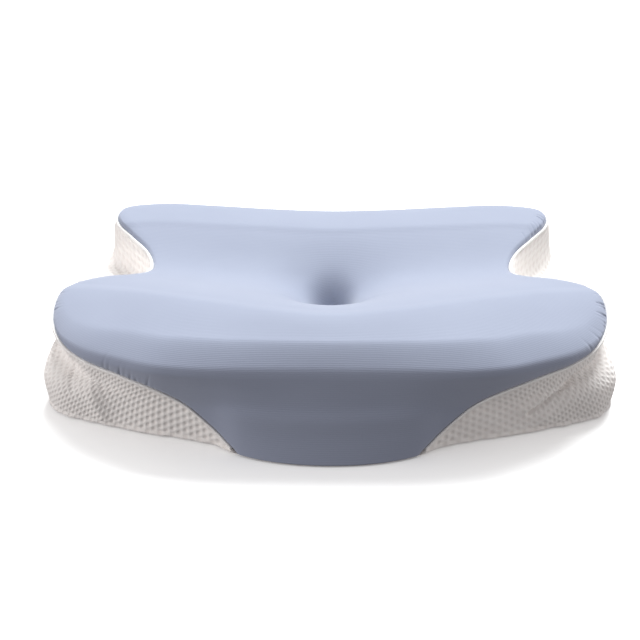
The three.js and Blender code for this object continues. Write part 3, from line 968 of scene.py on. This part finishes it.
def jersey_material():
    """Blue-grey stretch jersey: fine courses across it, faint wales along it."""
    shader = Shader("top_jersey", JERSEY["plain"], roughness=0.7, sheen=0.35)
    drift = shader.math("MULTIPLY", shader.noise(DRIFT_SCALE), COURSE_DRIFT)
    courses = shader.wave(shader.along, COURSE, drift)
    wales = shader.wave(shader.across, WALE)
    shader.paint(JERSEY, shader.math("MULTIPLY", courses, COURSE_SHADING), JERSEY_BLOTCHES)
    shader.bump(shader.math("MULTIPLY_ADD", wales, WALE_SHARE, courses), JERSEY_RELIEF)
    return shader.material


def tape_material():
    """Bright white binding with small ribs across it."""
    shader = Shader("binding_tape", TAPE_COLOR, roughness=0.85, sheen=0.2)
    shader.bump(shader.wave(shader.across, RIB), RIB_RELIEF)
    return shader.material


side = build_side()
panel = build_panel()
binding = build_binding()

for piece, node, slot, material in (
    (side, "cushion", "side_knit", knit_material()),
    (panel, "top_panel", "top_jersey", jersey_material()),
    (binding, "edge_binding", "binding_tape", tape_material()),
):
    piece.data.materials.append(material)
    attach(piece, "root")
    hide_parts(node)


# The floor: pale and glowing, with its glow dimmed where the pillow stands close over it, a painted
# contact shadow. Sizes here are in metres.
FLOOR_HALF = 30.0
FLOOR_COLOR = (0.9, 0.9, 0.9, 1)
FLOOR_ROUGHNESS = 0.9
FLOOR_SPECULAR = 0.1
GLOW = 0.45
PAINTED_SHADOW_REACH = 0.09

# Area lights, all aimed at one place: name | place | size | power | color
LIGHTS = [
    ("key", (0.9, 3.6, 4.95), 3.2, 645, (0.97, 1, 1)),
    ("left_fill", (-2.3, -0.75, 0.8), 1.8, 36, (1, 0.98, 0.97)),
    ("right_fill", (2.3, -0.3, 0.6), 1.8, 18, (1, 0.98, 0.97)),
]
LIGHT_TARGET = Vector((0, 0, 0.05))
SURROUNDINGS = (1, 0.97, 0.975, 1)
SURROUNDINGS_STRENGTH = 0.28

# The camera, and how far its picture is shifted, in parts of the picture's width
CAMERA_TARGET = Vector((0, -0.022, 0.05))
CAMERA_RISE = math.radians(32)
CAMERA_TURN = math.radians(0.7)
CAMERA_DISTANCE = 2.0
LENS = 106.5
SENSOR_WIDTH = 36
PICTURE_WIDTH = 640
SHIFT = (-10 / PICTURE_WIDTH, 16 / PICTURE_WIDTH)


def build_floor():
    half = FLOOR_HALF
    corners = [(-half, -half, 0), (half, -half, 0), (half, half, 0), (-half, half, 0)]
    mesh = bpy.data.meshes.new("floor")
    mesh.from_pydata(corners, [], [(0, 1, 2, 3)])
    floor = bpy.data.objects.new("floor", mesh)
    bpy.context.scene.collection.objects.link(floor)
    material = bpy.data.materials.new("floor")
    material.use_nodes = True
    surface = material.node_tree.nodes["Principled BSDF"]
    surface.inputs["Base Color"].default_value = FLOOR_COLOR
    surface.inputs["Roughness"].default_value = FLOOR_ROUGHNESS
    surface.inputs["Specular IOR Level"].default_value = FLOOR_SPECULAR
    surface.inputs["Emission Color"].default_value = (1, 1, 1, 1)
    nodes, links = material.node_tree.nodes, material.node_tree.links
    # ambient occlusion dims the floor's glow near the pillow: a painted contact shadow
    painted_contact_shadow = nodes.new("ShaderNodeAmbientOcclusion")
    painted_contact_shadow.inputs["Distance"].default_value = PAINTED_SHADOW_REACH
    glow = nodes.new("ShaderNodeMath")
    glow.operation = "MULTIPLY"
    glow.inputs[1].default_value = GLOW
    links.new(painted_contact_shadow.outputs["AO"], glow.inputs[0])
    links.new(glow.outputs[0], surface.inputs["Emission Strength"])
    mesh.materials.append(material)
    floor.visible_diffuse = False
    floor.visible_glossy = False


def aim(thing, target):
    direction = target - thing.location
    thing.rotation_euler = direction.to_track_quat("-Z", "Y").to_euler()


def add_light(name, place, size, power, color):
    light = bpy.data.lights.new(name, "AREA")
    light.color = color
    light.size = size
    light.energy = power
    thing = bpy.data.objects.new(name, light)
    thing.location = place
    aim(thing, LIGHT_TARGET)
    bpy.context.scene.collection.objects.link(thing)


def light_scene():
    for light in LIGHTS:
        add_light(*light)
    world = bpy.data.worlds.new("studio")
    bpy.context.scene.world = world
    world.use_nodes = True
    background = world.node_tree.nodes["Background"]
    background.inputs["Color"].default_value = SURROUNDINGS
    background.inputs["Strength"].default_value = SURROUNDINGS_STRENGTH
    bpy.context.scene.view_settings.view_transform = "Standard"


def add_camera():
    """Looks down on the pillow's front, as far away and as high as the photograph was taken."""
    camera = bpy.data.objects.new("camera", bpy.data.cameras.new("camera"))
    level, height = math.cos(CAMERA_RISE), math.sin(CAMERA_RISE)
    away = Vector((level * math.sin(CAMERA_TURN), -level * math.cos(CAMERA_TURN), height))
    camera.location = CAMERA_TARGET + CAMERA_DISTANCE * away
    aim(camera, CAMERA_TARGET)
    camera.data.lens = LENS
    camera.data.sensor_width = SENSOR_WIDTH
    camera.data.shift_x, camera.data.shift_y = SHIFT
    bpy.context.scene.collection.objects.link(camera)
    bpy.context.scene.camera = camera


build_floor()
light_scene()
add_camera()
